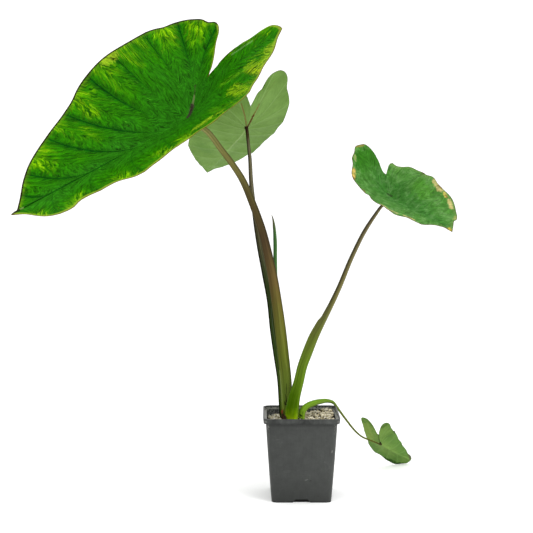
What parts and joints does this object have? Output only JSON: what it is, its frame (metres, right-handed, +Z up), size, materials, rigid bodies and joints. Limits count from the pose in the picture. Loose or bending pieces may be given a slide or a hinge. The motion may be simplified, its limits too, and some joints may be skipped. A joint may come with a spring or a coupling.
{
  "type": "potted blue hawaii elephant ear",
  "caption": "Young potted elephant ear with large heart-shaped, dark-veined leaves on long leaning stems, a rolled new leaf and a small drooping leaf, in a square grey nursery pot.",
  "frame": {"origin": "middle of the pot's underside, on the surface that the pot stands on", "axes": "+Z up; +X to the right and -Y to the front as seen by the viewer of the picture; the pot's sides lie along X and Y"},
  "size_m": [0.4605, 0.3749, 0.5631],
  "materials": {
    "pot_plastic": "dark grey moulded plastic, satin",
    "potting_mix": "dark fibrous mix, matt",
    "grit": "pale crushed grains, matt",
    "corm": "brown, matt",
    "stem_main": "olive to brown-purple, satin",
    "stem_dark": "dark green to purple-brown, satin",
    "stem_green": "green to khaki, satin",
    "stem_light": "yellow-green to maroon, satin",
    "new_leaf": "fresh green, satin",
    "leaf_marbled": "bright green with dark veins and a thin maroon edge, satin",
    "leaf_back": "pale green underside with a maroon centre, matt",
    "leaf_mid": "mid green with tan patches at the edge, matt",
    "leaf_small": "green, darker towards the edge, matt",
    "dry_sheath": "brown, papery"
  },
  "bodies": {
    "root": {"nursery_pot": "pot_plastic", "potting_mix": "potting_mix", "grit_top_dressing": "grit", "corm": "corm", "leaf_1_stem": "stem_main", "leaf_2_stem": "stem_dark", "leaf_3_stem": "stem_green", "leaf_4_stem": "stem_light", "new_leaf_stem": "new_leaf", "new_leaf_roll": "new_leaf", "leaf_1_blade": "leaf_marbled", "leaf_2_blade": "leaf_back", "leaf_3_blade": "leaf_mid", "leaf_4_blade": "leaf_small", "dry_sheath_outer": "dry_sheath", "dry_sheath_inner": "dry_sheath"}
  },
  "joints": []
}
